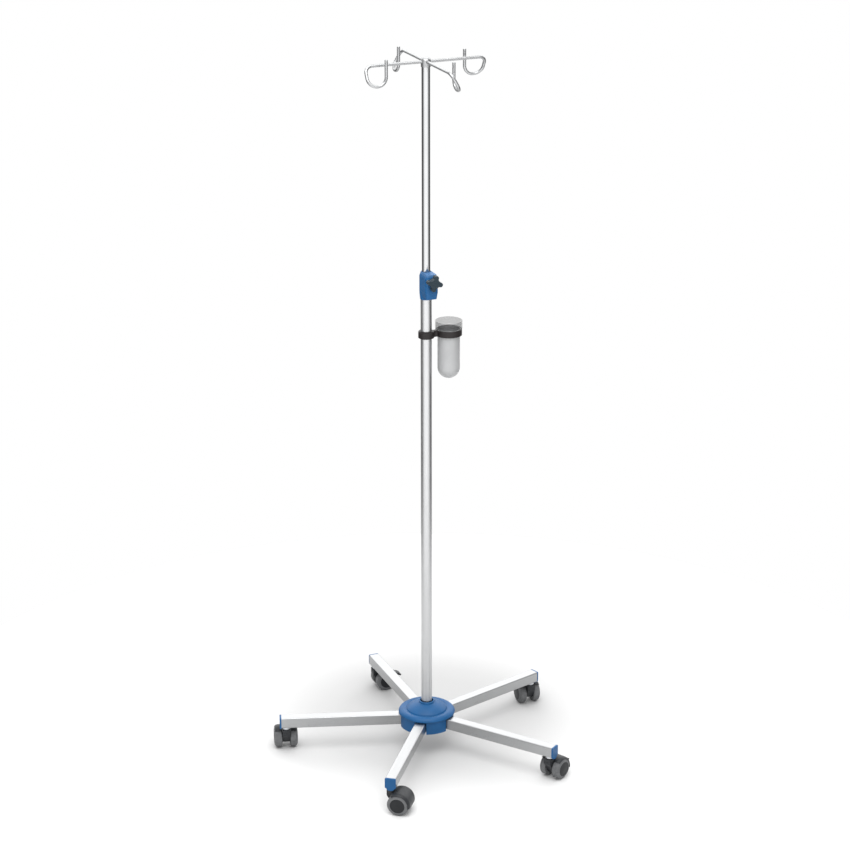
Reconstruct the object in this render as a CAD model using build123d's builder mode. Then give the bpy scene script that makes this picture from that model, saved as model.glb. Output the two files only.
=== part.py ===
from build123d import *
from math import cos, radians, sin, tan
import os

# Infusion stand on five casters, with a telescopic mast, a screw clamp that holds the
# mast at its height, a four-hook head and a cup that hangs in a ring on the mast.
#
# Frame: millimetres, +Z up, origin on the floor under the mast's axis.
# +X is the cup's side, -Y is the side of the clamp knob.

# ---------------------------------------------------------------- driving sizes

# Running and hanging clearances between pieces that move on each other
RUNNING_GAP = 0.05
FREE_GAP = 0.3

# Legs: square tube, numbered anticlockwise from the front left one
LEG_COUNT = 5
LEG_STEP = 360.0 / LEG_COUNT
LEG_FIRST_ANGLE = -126.0
LEG_SIZE = 25.0
LEG_WALL = 1.5
LEG_CORNER = 2.5
LEG_TOP_Z = 85.0
LEG_END = 341.0

# Hub casting and its round cover
HUB_FACET_RADIUS = 30.0
HUB_FLANGE_RADIUS = 55.0
HUB_FLANGE_THICKNESS = 3.0
HUB_NECK_RADIUS = 18.0
HUB_NECK_TOP_Z = 103.0
SKIRT_RADIUS = 63.0
SKIRT_WALL = 3.0
SKIRT_BOTTOM_Z = 56.0
COVER_RADIUS = 66.0
COVER_TOP_Z = 116.0
LEG_WINDOW = 27.6

# Mast: lower and upper tubes
LOWER_RADIUS = 12.5
LOWER_WALL = 1.5
LOWER_FOOT_Z = 70.0
LOWER_TOP_Z = 1125.0
UPPER_RADIUS = 9.5
UPPER_WALL = 1.2
UPPER_FOOT_Z = 632.3
UPPER_TOP_Z = 1616.0

# Mast fixing: plug in the lower tube and the bolt from below
PLUG_LENGTH = 30.0
BOLT_RADIUS = 5.0
BOLT_SEAT_Z = 66.0
BOLT_TIP_Z = 92.0
BOLT_FLANGE_RADIUS = 10.5
BOLT_FLANGE_THICKNESS = 2.0
BOLT_HEAD_FLATS = 16.0
BOLT_HEAD_HEIGHT = 6.4
BOLT_ROOM = 1.5

# Height clamp
CLAMP_BOTTOM_Z = 1097.0
CLAMP_TOP_Z = 1160.0
CLAMP_RADIUS = 15.0
CLAMP_FOOT_RADIUS = 13.2
CLAMP_SHOULDER = 9.0
CLAMP_DRAFT = 20.0
BOSS_WIDTH = 29.6
BOSS_REACH = 36.5
BOSS_BOTTOM_Z = 1104.0
BOSS_DRAFT = 10.0
BOSS_CORNER = 6.0
KNOB_Z = 1145.0
SCREW_RADIUS = 4.0
NUT_FLATS = 13.0
NUT_THICKNESS = 6.5
NUT_REACH = 18.0
PAD_BACK = 14.5
KNOB_FACE = 37.8
KNOB_COLLAR = 5.5
KNOB_THICKNESS = 12.0
KNOB_LOBE_REACH = 13.2
KNOB_LOBE_RADIUS = 5.2
KNOB_CORE_RADIUS = 11.0
KNOB_ANGLE = -15.0
KNOB_VALLEY = 4.0
KNOB_EDGE = 2.0

# Hook head: each rod runs out along its arm, slants down to one side, comes back under
# and rises past the arm to its tip
ARM_Z = 1627.0
ARM_RADIUS = 3.5
ARM_SOCKET = 5.0
HOOK_COUNT = 4
HOOK_REACH = 140.0
HOOK_DROP = 40.5
HOOK_SIDE = 23.0
HOOK_RETURN = 40.0
HOOK_TOP_BEND = 16.0
HOOK_BEND = 19.5
TIP_RISE = 16.0
TIP_ROUND = 1.5
HEAD_RADIUS = 10.75
HEAD_TOP_Z = 1636.0
HEAD_SHOULDER_Z = 1631.0
HEAD_PLUG = 16.0
HEAD_FLAT = 4.0

# Cup and the double ring that carries it
RING_TOP_Z = 1021.5
RING_HEIGHT = 14.2
POLE_RING_RADIUS = 17.8
LINER_RADIUS = 14.5
LINER_LIP_RADIUS = 15.8
LINER_LIP = 0.8
CUP_OFFSET = 54.3
CUP_RING_RADIUS = 29.8
CUP_RING_BORE = 25.8
CUP_RADIUS = 25.1
CUP_WALL = 1.8
CUP_BOTTOM_Z = 906.0
CUP_RIM_Z = 1040.4
COLLAR_RADIUS = 30.7

# Twin-wheel casters; each trails its own way
CASTER_REACH = 330.0
CASTER_TRAIL = 20.0
TRAIL_ANGLES = (-38.0, 28.0, 88.0, -1.0, 75.0)
BRAKED_CASTERS = (2, 4)
WHEEL_RADIUS = 25.0
TYRE_WIDTH = 17.8
WHEEL_CORE_RADIUS = 17.0
WHEEL_INNER_FACE = 9.5
WEB_WIDTH = 18.0
AXLE_RADIUS = 3.0
AXLE_HALF_LENGTH = 22.5
HOOD_RADIUS = 28.0
HOOD_BORE = 26.3
HOOD_WIDTH = 52.0
HOOD_CROWN = 36.0
HOOD_LIP_RADIUS = 24.4
HOOD_START = -12.0
HOOD_SWEEP = 140.0
HOUSING_TOP_Z = 53.3
HOUSING_BOTTOM_Z = 14.0
WEB_FOOT_FRONT = 12.0
WEB_FOOT_BACK = 14.0
WEB_FRONT_Z = 40.0
STEM_BOSS_EDGE = 1.5
BOSS_RING_RADIUS = 11.0
BOSS_RING_HEIGHT = 6.0
SWIVEL_PIN_RADIUS = 4.0
SWIVEL_PIN_FOOT_Z = 37.2
STEM_RADIUS = 5.5
STEM_TOP_Z = 80.0
STEM_COLLAR_RADIUS = 8.5
STEM_COLLAR_Z = 54.0

# Brake pedal, hinged behind the hood
PEDAL_HINGE_RADIUS = 31.0
PEDAL_HINGE_ANGLE = 12.0
PEDAL_LUG_INNER = 8.0
PEDAL_LUG_WIDTH = 3.0
PEDAL_LUG_RADIUS = 3.4
PEDAL_BARREL_RADIUS = 2.9
TRUNNION_RADIUS = 1.5
PEDAL_TIP = 63.0
PEDAL_WIDTH = 20.0

# ---------------------------------------------------------------- shared places

LEG_BOTTOM_Z = LEG_TOP_Z - LEG_SIZE
LEG_MID_Z = LEG_TOP_Z - LEG_SIZE / 2
LEG_ANGLES = [LEG_FIRST_ANGLE + LEG_STEP * index for index in range(LEG_COUNT)]
HUB_BOTTOM_Z = LEG_BOTTOM_Z - HUB_FLANGE_THICKNESS
LOWER_BORE = LOWER_RADIUS - LOWER_WALL
UPPER_BORE = UPPER_RADIUS - UPPER_WALL
UP = Vector(0, 0, 1)


def heading(angle):
    """Unit vector in the floor plane at an angle from +X."""
    return Vector(cos(radians(angle)), sin(radians(angle)), 0)


def upright(origin, along):
    """Vertical plane with local x along a floor direction and local y up."""
    return Plane(origin=origin, x_dir=along, z_dir=along.cross(UP))


def across(angle, reach, height):
    """Vertical plane that a leg passes through at right angles."""
    outward = heading(angle)
    sideways = UP.cross(outward)
    return Plane(origin=outward * reach + UP * height, x_dir=sideways, z_dir=outward)


os.makedirs("parts", exist_ok=True)

# ---------------------------------------------------------------- hub

with BuildPart() as hub_core:
    with BuildSketch(Plane.XY.offset(HUB_BOTTOM_Z)):
        Circle(HUB_FLANGE_RADIUS)
    extrude(amount=HUB_FLANGE_THICKNESS)
    # Five facets, one for each leg to butt against
    with BuildSketch(Plane.XY.offset(LEG_BOTTOM_Z)):
        RegularPolygon(
            HUB_FACET_RADIUS,
            LEG_COUNT,
            major_radius=False,
            rotation=LEG_FIRST_ANGLE + LEG_STEP / 2,
        )
    extrude(amount=LEG_SIZE)
    with BuildSketch(Plane.XY.offset(LEG_TOP_Z)):
        Circle(HUB_NECK_RADIUS)
    extrude(amount=HUB_NECK_TOP_Z - LEG_TOP_Z)
    # Mast socket above, bolt hole and its counterbore below
    with BuildSketch(Plane.XY.offset(LOWER_FOOT_Z)):
        Circle(LOWER_RADIUS)
    extrude(amount=HUB_NECK_TOP_Z - LOWER_FOOT_Z, mode=Mode.SUBTRACT)
    with BuildSketch(Plane.XY.offset(BOLT_SEAT_Z)):
        Circle(BOLT_RADIUS)
    extrude(amount=LOWER_FOOT_Z - BOLT_SEAT_Z, mode=Mode.SUBTRACT)
    with BuildSketch(Plane.XY.offset(HUB_BOTTOM_Z)):
        Circle(BOLT_FLANGE_RADIUS + BOLT_ROOM)
    extrude(amount=BOLT_SEAT_Z - HUB_BOTTOM_Z, mode=Mode.SUBTRACT)
hub_core.part.label = "hub_core"
export_step(hub_core.part, "parts/hub_core.step")

with BuildPart() as mast_bolt:
    with BuildSketch(Plane.XY.offset(BOLT_SEAT_Z - BOLT_FLANGE_THICKNESS)):
        Circle(BOLT_FLANGE_RADIUS)
    extrude(amount=BOLT_FLANGE_THICKNESS)
    with BuildSketch(Plane.XY.offset(BOLT_SEAT_Z)):
        Circle(BOLT_RADIUS)
    extrude(amount=BOLT_TIP_Z - BOLT_SEAT_Z)
    with BuildSketch(Plane.XY.offset(BOLT_SEAT_Z - BOLT_FLANGE_THICKNESS)):
        RegularPolygon(BOLT_HEAD_FLATS / 2, 6, major_radius=False)
    extrude(amount=-BOLT_HEAD_HEIGHT)
    chamfer(mast_bolt.faces().sort_by(Axis.Z)[-1].edges(), length=1)
mast_bolt.part.label = "mast_bolt"
export_step(mast_bolt.part, "parts/mast_bolt.step")

with BuildPart() as mast_plug:
    with BuildSketch(Plane.XY.offset(LOWER_FOOT_Z)):
        Circle(LOWER_BORE)
    extrude(amount=PLUG_LENGTH)
    with BuildSketch(Plane.XY.offset(LOWER_FOOT_Z)):
        Circle(BOLT_RADIUS)
    extrude(amount=PLUG_LENGTH, mode=Mode.SUBTRACT)
mast_plug.part.label = "mast_plug"
export_step(mast_plug.part, "parts/mast_plug.step")

# Cover: a rounded rim, a shallow ring groove, then a low dome up to a boss round the mast.
# The section is drawn as radius and height.
RIM_Z = 86.0
BULGE_RADIUS = 56.5
BULGE_Z = 96.5
GROOVE_RADIUS = 47.5
GROOVE_Z = 95.2
DOME_RADIUS = 46.0
DOME_Z = 97.8
DOME_MIDDLE_RADIUS = 31.0
DOME_MIDDLE_Z = 107.4
BOSS_TOP_RADIUS = 18.5
BOSS_FOOT_Z = 112.0
RECESS_RADIUS = 15.4
RECESS_Z = 108.0
MAST_HOLE_RADIUS = LOWER_RADIUS + 0.3
COVER_UNDER_Z = 104.5

with BuildPart() as hub_cover:
    with BuildSketch(Plane.XZ):
        with BuildLine():
            Polyline(
                (SKIRT_RADIUS - SKIRT_WALL, SKIRT_BOTTOM_Z),
                (SKIRT_RADIUS, SKIRT_BOTTOM_Z),
                (SKIRT_RADIUS, RIM_Z),
                (COVER_RADIUS - 1.2, RIM_Z),
            )
            ThreePointArc(
                (COVER_RADIUS - 1.2, RIM_Z),
                (COVER_RADIUS - 0.1, RIM_Z + 1.8),
                (COVER_RADIUS - 0.5, RIM_Z + 4.0),
            )
            ThreePointArc(
                (COVER_RADIUS - 0.5, RIM_Z + 4.0),
                (COVER_RADIUS - 3.8, BULGE_Z - 2.3),
                (BULGE_RADIUS, BULGE_Z),
            )
            ThreePointArc(
                (BULGE_RADIUS, BULGE_Z),
                ((BULGE_RADIUS + GROOVE_RADIUS) / 2, BULGE_Z - 0.3),
                (GROOVE_RADIUS, GROOVE_Z),
            )
            Line((GROOVE_RADIUS, GROOVE_Z), (DOME_RADIUS, DOME_Z))
            ThreePointArc(
                (DOME_RADIUS, DOME_Z),
                (DOME_MIDDLE_RADIUS, DOME_MIDDLE_Z),
                (BOSS_TOP_RADIUS, BOSS_FOOT_Z),
            )
            Line((BOSS_TOP_RADIUS, BOSS_FOOT_Z), (BOSS_TOP_RADIUS, COVER_TOP_Z - 1.5))
            ThreePointArc(
                (BOSS_TOP_RADIUS, COVER_TOP_Z - 1.5),
                (BOSS_TOP_RADIUS - 0.8, COVER_TOP_Z - 0.4),
                (BOSS_TOP_RADIUS - 2.0, COVER_TOP_Z),
            )
            Polyline(
                (BOSS_TOP_RADIUS - 2.0, COVER_TOP_Z),
                (RECESS_RADIUS, COVER_TOP_Z),
                (RECESS_RADIUS, RECESS_Z),
                (MAST_HOLE_RADIUS, RECESS_Z),
                (MAST_HOLE_RADIUS, COVER_UNDER_Z),
                (DOME_MIDDLE_RADIUS - 3.0, COVER_UNDER_Z),
                (DOME_RADIUS - 2.0, BULGE_Z - 5.0),
                (BULGE_RADIUS + 0.5, BULGE_Z - 5.5),
                (SKIRT_RADIUS - SKIRT_WALL, RIM_Z + 1.0),
                (SKIRT_RADIUS - SKIRT_WALL, SKIRT_BOTTOM_Z),
            )
        make_face()
    revolve(axis=Axis.Z)
    # One window in the skirt for each leg
    with PolarLocations(SKIRT_RADIUS, LEG_COUNT, start_angle=LEG_FIRST_ANGLE):
        with Locations((0, 0, SKIRT_BOTTOM_Z)):
            Box(
                12.0,
                LEG_WINDOW,
                LEG_TOP_Z + 0.5 - SKIRT_BOTTOM_Z,
                align=(Align.CENTER, Align.CENTER, Align.MIN),
                mode=Mode.SUBTRACT,
            )
hub_cover.part.label = "hub_cover"
export_step(hub_cover.part, "parts/hub_cover.step")

# ---------------------------------------------------------------- legs

for number, angle in enumerate(LEG_ANGLES, start=1):
    with BuildPart() as leg:
        with BuildSketch(across(angle, HUB_FACET_RADIUS, LEG_MID_Z)):
            RectangleRounded(LEG_SIZE, LEG_SIZE, LEG_CORNER)
            RectangleRounded(
                LEG_SIZE - 2 * LEG_WALL,
                LEG_SIZE - 2 * LEG_WALL,
                LEG_CORNER - LEG_WALL,
                mode=Mode.SUBTRACT,
            )
        extrude(amount=LEG_END - HUB_FACET_RADIUS)
        # Hole in the underside for the caster's stem
        with BuildSketch(Plane.XY.offset(LEG_BOTTOM_Z)):
            with Locations(heading(angle) * CASTER_REACH):
                Circle(STEM_RADIUS)
        extrude(amount=LEG_WALL, mode=Mode.SUBTRACT)
    leg.part.label = f"leg_{number}"
    export_step(leg.part, f"parts/leg_{number}.step")

# End caps: a plate over the leg's end with a rounded tongue hanging below it, and a
# block inside the tube that holds the caster's stem
CAP_THICKNESS = 4.0
CAP_INSERT = 20.0
TONGUE_WIDTH = 18.0
TONGUE_DROP = 5.8
CAP_EDGE = 1.0


def end_cap(angle):
    """One leg's end cap."""
    outward = heading(angle)
    with BuildPart() as cap:
        with BuildSketch(across(angle, LEG_END, LEG_MID_Z)):
            RectangleRounded(LEG_SIZE, LEG_SIZE, LEG_CORNER)
            with Locations((0, -LEG_SIZE / 2)):
                Ellipse(TONGUE_WIDTH / 2, TONGUE_DROP)
        extrude(amount=CAP_THICKNESS)
        outer_face = cap.faces().sort_by(Axis((0, 0, 0), outward))[-1]
        fillet(outer_face.edges(), radius=CAP_EDGE)
        with BuildSketch(across(angle, LEG_END, LEG_MID_Z)):
            RectangleRounded(LEG_SIZE - 2 * LEG_WALL, LEG_SIZE - 2 * LEG_WALL, LEG_CORNER - LEG_WALL)
        extrude(amount=-CAP_INSERT)
        with BuildSketch(Plane.XY.offset(LEG_BOTTOM_Z)):
            with Locations(outward * CASTER_REACH):
                Circle(STEM_RADIUS)
        extrude(amount=STEM_TOP_Z - LEG_BOTTOM_Z, mode=Mode.SUBTRACT)
    return cap.part


with BuildPart() as leg_end_caps:
    for angle in LEG_ANGLES:
        add(end_cap(angle))
leg_end_caps.part.label = "leg_end_caps"
export_step(leg_end_caps.part, "parts/leg_end_caps.step")

# Caster stems: swivel pin, collar under the leg and the shank inside its end cap
with BuildPart() as caster_stems:
    with BuildSketch(Plane.XY.offset(SWIVEL_PIN_FOOT_Z)):
        with PolarLocations(CASTER_REACH, LEG_COUNT, start_angle=LEG_FIRST_ANGLE):
            Circle(SWIVEL_PIN_RADIUS)
    extrude(amount=STEM_COLLAR_Z - SWIVEL_PIN_FOOT_Z)
    with BuildSketch(Plane.XY.offset(STEM_COLLAR_Z)):
        with PolarLocations(CASTER_REACH, LEG_COUNT, start_angle=LEG_FIRST_ANGLE):
            Circle(STEM_COLLAR_RADIUS)
    extrude(amount=LEG_BOTTOM_Z - STEM_COLLAR_Z)
    with BuildSketch(Plane.XY.offset(LEG_BOTTOM_Z)):
        with PolarLocations(CASTER_REACH, LEG_COUNT, start_angle=LEG_FIRST_ANGLE):
            Circle(STEM_RADIUS)
    extrude(amount=STEM_TOP_Z - LEG_BOTTOM_Z)
caster_stems.part.label = "caster_stems"
export_step(caster_stems.part, "parts/caster_stems.step")

# ---------------------------------------------------------------- casters

HOOD_ROLL = 2.8
HOOD_SHOULDER = 4.5
HOOD_SHOULDER_DROP = 1.1
HOOD_EDGE = 0.8
PEDAL_HINGE_X = CASTER_TRAIL + PEDAL_HINGE_RADIUS * cos(radians(PEDAL_HINGE_ANGLE))
PEDAL_HINGE_Z = WHEEL_RADIUS + PEDAL_HINGE_RADIUS * sin(radians(PEDAL_HINGE_ANGLE))


def hood_point(angle, radius):
    """Point in a caster's side view, at an angle round the axle."""
    across_x = CASTER_TRAIL + radius * cos(radians(angle))
    up_z = WHEEL_RADIUS + radius * sin(radians(angle))
    return (across_x, up_z)


def caster_housing(side_view, swivel, braked):
    """Web between the wheels, hood over them and boss round the swivel pin."""
    hood_end = hood_point(HOOD_START, HOOD_RADIUS)
    hood_crest = hood_point(HOOD_START + HOOD_SWEEP / 2, HOOD_RADIUS)
    hood_front = hood_point(HOOD_START + HOOD_SWEEP, HOOD_RADIUS)
    axle_middle = side_view.from_local_coords(Vector(CASTER_TRAIL, WHEEL_RADIUS, 0))
    along_axle = side_view.z_dir
    start_spoke = side_view.x_dir * cos(radians(HOOD_START)) + side_view.y_dir * sin(radians(HOOD_START))
    hood_section = Plane(origin=axle_middle, x_dir=along_axle, z_dir=along_axle.cross(start_spoke))
    with BuildPart() as housing:
        with BuildSketch(side_view):
            with BuildLine():
                FilletPolyline(
                    hood_front,
                    (BOSS_RING_RADIUS - STEM_BOSS_EDGE, HOUSING_TOP_Z - BOSS_RING_HEIGHT / 2),
                    (BOSS_RING_RADIUS - STEM_BOSS_EDGE, HOUSING_TOP_Z),
                    (STEM_BOSS_EDGE - BOSS_RING_RADIUS, HOUSING_TOP_Z),
                    (STEM_BOSS_EDGE - BOSS_RING_RADIUS, WEB_FRONT_Z),
                    (CASTER_TRAIL - WEB_FOOT_FRONT, HOUSING_BOTTOM_Z),
                    (CASTER_TRAIL + WEB_FOOT_BACK, HOUSING_BOTTOM_Z),
                    hood_end,
                    radius=(0, 0, 0, 6.0, 8.0, 8.0),
                )
                ThreePointArc(hood_end, hood_crest, hood_front)
            make_face()
        extrude(amount=WEB_WIDTH / 2, both=True)
        # Hood section, drawn along the axle and out from it; its sides roll over the tyres
        with BuildSketch(hood_section):
            with BuildLine():
                Polyline(
                    (-HOOD_WIDTH / 2, HOOD_LIP_RADIUS),
                    (-HOOD_WIDTH / 2, HOOD_LIP_RADIUS - HOOD_EDGE),
                    (-HOOD_CROWN / 2 - HOOD_ROLL, HOOD_BORE),
                    (HOOD_CROWN / 2 + HOOD_ROLL, HOOD_BORE),
                    (HOOD_WIDTH / 2, HOOD_LIP_RADIUS - HOOD_EDGE),
                    (HOOD_WIDTH / 2, HOOD_LIP_RADIUS),
                )
                ThreePointArc(
                    (HOOD_WIDTH / 2, HOOD_LIP_RADIUS),
                    (HOOD_CROWN / 2 + HOOD_SHOULDER, HOOD_RADIUS - HOOD_SHOULDER_DROP),
                    (HOOD_CROWN / 2, HOOD_RADIUS),
                )
                Line((HOOD_CROWN / 2, HOOD_RADIUS), (-HOOD_CROWN / 2, HOOD_RADIUS))
                ThreePointArc(
                    (-HOOD_CROWN / 2, HOOD_RADIUS),
                    (-HOOD_CROWN / 2 - HOOD_SHOULDER, HOOD_RADIUS - HOOD_SHOULDER_DROP),
                    (-HOOD_WIDTH / 2, HOOD_LIP_RADIUS),
                )
            make_face()
        revolve(axis=Axis(hood_section.origin, hood_section.x_dir), revolution_arc=HOOD_SWEEP)
        with BuildSketch(Plane.XY.offset(HOUSING_TOP_Z - BOSS_RING_HEIGHT)):
            with Locations(swivel):
                Circle(BOSS_RING_RADIUS)
        extrude(amount=BOSS_RING_HEIGHT)
        if braked:
            # A pair of lugs on the hood carries the pedal's trunnions
            for side in (1, -1):
                with BuildSketch(side_view.offset(side * PEDAL_LUG_INNER)):
                    with Locations((PEDAL_HINGE_X, PEDAL_HINGE_Z)):
                        Circle(PEDAL_LUG_RADIUS)
                    with Locations(hood_point(PEDAL_HINGE_ANGLE, HOOD_RADIUS + 1.0)):
                        Rectangle(4.2, 2 * PEDAL_LUG_RADIUS, rotation=PEDAL_HINGE_ANGLE)
                extrude(amount=side * PEDAL_LUG_WIDTH)
            with BuildSketch(side_view):
                with Locations((PEDAL_HINGE_X, PEDAL_HINGE_Z)):
                    Circle(TRUNNION_RADIUS + RUNNING_GAP)
            extrude(amount=HOOD_WIDTH / 2, both=True, mode=Mode.SUBTRACT)
        # Bores for the axle and for the swivel pin
        with BuildSketch(side_view):
            with Locations((CASTER_TRAIL, WHEEL_RADIUS)):
                Circle(AXLE_RADIUS)
        extrude(amount=WEB_WIDTH / 2, both=True, mode=Mode.SUBTRACT)
        with BuildSketch(Plane.XY.offset(SWIVEL_PIN_FOOT_Z - 0.5)):
            with Locations(swivel):
                Circle(SWIVEL_PIN_RADIUS + RUNNING_GAP)
        extrude(amount=HOUSING_TOP_Z - SWIVEL_PIN_FOOT_Z + 0.5, mode=Mode.SUBTRACT)
    return housing.part


def caster_axle(side_view):
    """Axle through the housing's web and into both wheels."""
    with BuildPart() as axle:
        with BuildSketch(side_view):
            with Locations((CASTER_TRAIL, WHEEL_RADIUS)):
                Circle(AXLE_RADIUS)
        extrude(amount=AXLE_HALF_LENGTH, both=True)
    return axle.part


# Wheel sections, drawn as distance out from the inner face and radius
TYRE_SHOULDER = 2.4
BEVEL_START = 13.0
BEVEL_END_RADIUS = 17.6
CORE_FACE = 17.2
CORE_CROWN = 18.6
CROWN_FLAT = 2.0
AXLE_POCKET = 13.4


def wheel_core(section):
    """Wheel centre with a blind bore for the axle and a crowned outer face."""
    with BuildPart() as core:
        with BuildSketch(section):
            with BuildLine():
                Polyline(
                    (CORE_CROWN, CROWN_FLAT),
                    (CORE_CROWN, 0),
                    (AXLE_POCKET, 0),
                    (AXLE_POCKET, AXLE_RADIUS + RUNNING_GAP),
                    (0, AXLE_RADIUS + RUNNING_GAP),
                    (0, WHEEL_CORE_RADIUS),
                    (CORE_FACE, WHEEL_CORE_RADIUS),
                )
                ThreePointArc(
                    (CORE_FACE, WHEEL_CORE_RADIUS),
                    (CORE_CROWN - 0.5, WHEEL_CORE_RADIUS / 2),
                    (CORE_CROWN, CROWN_FLAT),
                )
            make_face()
        revolve(axis=Axis(section.origin, section.x_dir))
    return core.part


def wheel_tyre(section):
    """Tyre round the wheel centre, with a wide bevel on its outer side."""
    with BuildPart() as tyre:
        with BuildSketch(section):
            with BuildLine():
                Polyline(
                    (TYRE_WIDTH, WHEEL_CORE_RADIUS),
                    (0, WHEEL_CORE_RADIUS),
                    (0, WHEEL_RADIUS - TYRE_SHOULDER),
                )
                ThreePointArc(
                    (0, WHEEL_RADIUS - TYRE_SHOULDER),
                    (0.7, WHEEL_RADIUS - 0.7),
                    (TYRE_SHOULDER, WHEEL_RADIUS),
                )
                Line((TYRE_SHOULDER, WHEEL_RADIUS), (BEVEL_START, WHEEL_RADIUS))
                ThreePointArc(
                    (BEVEL_START, WHEEL_RADIUS),
                    (BEVEL_START + 3.0, WHEEL_RADIUS - 3.2),
                    (TYRE_WIDTH, BEVEL_END_RADIUS),
                )
                Line((TYRE_WIDTH, BEVEL_END_RADIUS), (TYRE_WIDTH, WHEEL_CORE_RADIUS))
            make_face()
        revolve(axis=Axis(section.origin, section.x_dir))
    return tyre.part


def brake_pedal(side_view):
    """Foot pedal that turns on its own trunnions between the housing's lugs."""
    barrel_width = 2 * (PEDAL_LUG_INNER - FREE_GAP)
    with BuildPart() as pedal:
        with BuildSketch(side_view):
            with Locations((PEDAL_HINGE_X, PEDAL_HINGE_Z)):
                Circle(PEDAL_BARREL_RADIUS)
            with BuildLine():
                Polyline(
                    (PEDAL_HINGE_X, PEDAL_HINGE_Z + PEDAL_BARREL_RADIUS),
                    (PEDAL_HINGE_X, PEDAL_HINGE_Z - 1.5),
                    (PEDAL_HINGE_X + 7.0, PEDAL_HINGE_Z - 2.5),
                    (PEDAL_HINGE_X + 7.0, PEDAL_HINGE_Z + 2.3),
                    close=True,
                )
            make_face()
        extrude(amount=barrel_width / 2, both=True)
        # Paddle, wider than the lugs and clear behind them
        with BuildSketch(side_view):
            with BuildLine():
                Line((PEDAL_HINGE_X + 5.0, PEDAL_HINGE_Z - 2.3), (PEDAL_TIP - 3.0, PEDAL_HINGE_Z - 4.6))
                ThreePointArc(
                    (PEDAL_TIP - 3.0, PEDAL_HINGE_Z - 4.6),
                    (PEDAL_TIP, PEDAL_HINGE_Z - 3.0),
                    (PEDAL_TIP - 2.2, PEDAL_HINGE_Z - 0.6),
                )
                Line((PEDAL_TIP - 2.2, PEDAL_HINGE_Z - 0.6), (PEDAL_HINGE_X + 5.0, PEDAL_HINGE_Z + 2.4))
                Line(
                    (PEDAL_HINGE_X + 5.0, PEDAL_HINGE_Z + 2.4),
                    (PEDAL_HINGE_X + 5.0, PEDAL_HINGE_Z - 2.3),
                )
            make_face()
        extrude(amount=PEDAL_WIDTH / 2, both=True)
        with BuildSketch(side_view):
            with Locations((PEDAL_HINGE_X, PEDAL_HINGE_Z)):
                Circle(TRUNNION_RADIUS)
        extrude(amount=PEDAL_LUG_INNER + PEDAL_LUG_WIDTH - 0.5, both=True)
    return pedal.part


for number, (angle, trail) in enumerate(zip(LEG_ANGLES, TRAIL_ANGLES), start=1):
    swivel = heading(angle) * CASTER_REACH
    side_view = upright(swivel, heading(trail))
    braked = number in BRAKED_CASTERS

    housing = caster_housing(side_view, swivel, braked)
    housing.label = f"caster_housing_{number}"
    export_step(housing, f"parts/caster_housing_{number}.step")

    axle = caster_axle(side_view)
    axle.label = f"caster_axle_{number}"
    export_step(axle, f"parts/caster_axle_{number}.step")

    hub_centre = swivel + heading(trail) * CASTER_TRAIL + UP * WHEEL_RADIUS
    for side, turn in (("left", 90.0), ("right", -90.0)):
        outward = heading(trail + turn)
        section = upright(hub_centre + outward * WHEEL_INNER_FACE, outward)

        core = wheel_core(section)
        core.label = f"wheel_{number}_{side}"
        export_step(core, f"parts/wheel_{number}_{side}.step")

        tyre = wheel_tyre(section)
        tyre.label = f"tyre_{number}_{side}"
        export_step(tyre, f"parts/tyre_{number}_{side}.step")

    if braked:
        pedal = brake_pedal(side_view)
        pedal.label = f"brake_pedal_{number}"
        export_step(pedal, f"parts/brake_pedal_{number}.step")

# ---------------------------------------------------------------- mast tubes

with BuildPart() as lower_tube:
    with BuildSketch(Plane.XY.offset(LOWER_FOOT_Z)):
        Circle(LOWER_RADIUS)
        Circle(LOWER_BORE, mode=Mode.SUBTRACT)
    extrude(amount=LOWER_TOP_Z - LOWER_FOOT_Z)
lower_tube.part.label = "lower_tube"
export_step(lower_tube.part, "parts/lower_tube.step")

with BuildPart() as upper_tube:
    with BuildSketch(Plane.XY.offset(UPPER_FOOT_Z)):
        Circle(UPPER_RADIUS)
        Circle(UPPER_BORE, mode=Mode.SUBTRACT)
    extrude(amount=UPPER_TOP_Z - UPPER_FOOT_Z)
upper_tube.part.label = "upper_tube"
export_step(upper_tube.part, "parts/upper_tube.step")

# Slider: glides in the lower tube and carries the upper tube on a spigot
SLIDER_LENGTH = 32.0
SPIGOT_LENGTH = 22.0

with BuildPart() as tube_slider:
    with BuildSketch(Plane.XY.offset(UPPER_FOOT_Z - FREE_GAP)):
        Circle(LOWER_BORE - RUNNING_GAP)
    extrude(amount=-SLIDER_LENGTH)
    chamfer(tube_slider.edges().sort_by(Axis.Z)[0], length=1.5)
    with BuildSketch(Plane.XY.offset(UPPER_FOOT_Z - FREE_GAP)):
        Circle(UPPER_BORE - RUNNING_GAP)
    extrude(amount=SPIGOT_LENGTH)
tube_slider.part.label = "tube_slider"
export_step(tube_slider.part, "parts/tube_slider.step")

# ---------------------------------------------------------------- height clamp

KNOB_PLANE = Plane.XZ
CLAMP_SHOULDER_Z = CLAMP_TOP_Z - CLAMP_SHOULDER
CLAMP_TAPER_TOP_Z = 1119.0
BUSH_TOP_Z = CLAMP_SHOULDER_Z
SCREW_BORE = SCREW_RADIUS + 2 * RUNNING_GAP


# Plan of the boss that stands out from the sleeve towards the knob
with BuildSketch() as boss_outline:
    with Locations((0, -BOSS_REACH / 2)):
        Rectangle(BOSS_WIDTH, BOSS_REACH)
    fillet(boss_outline.vertices().sort_by(Axis.Y)[:2], radius=BOSS_CORNER)

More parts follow.
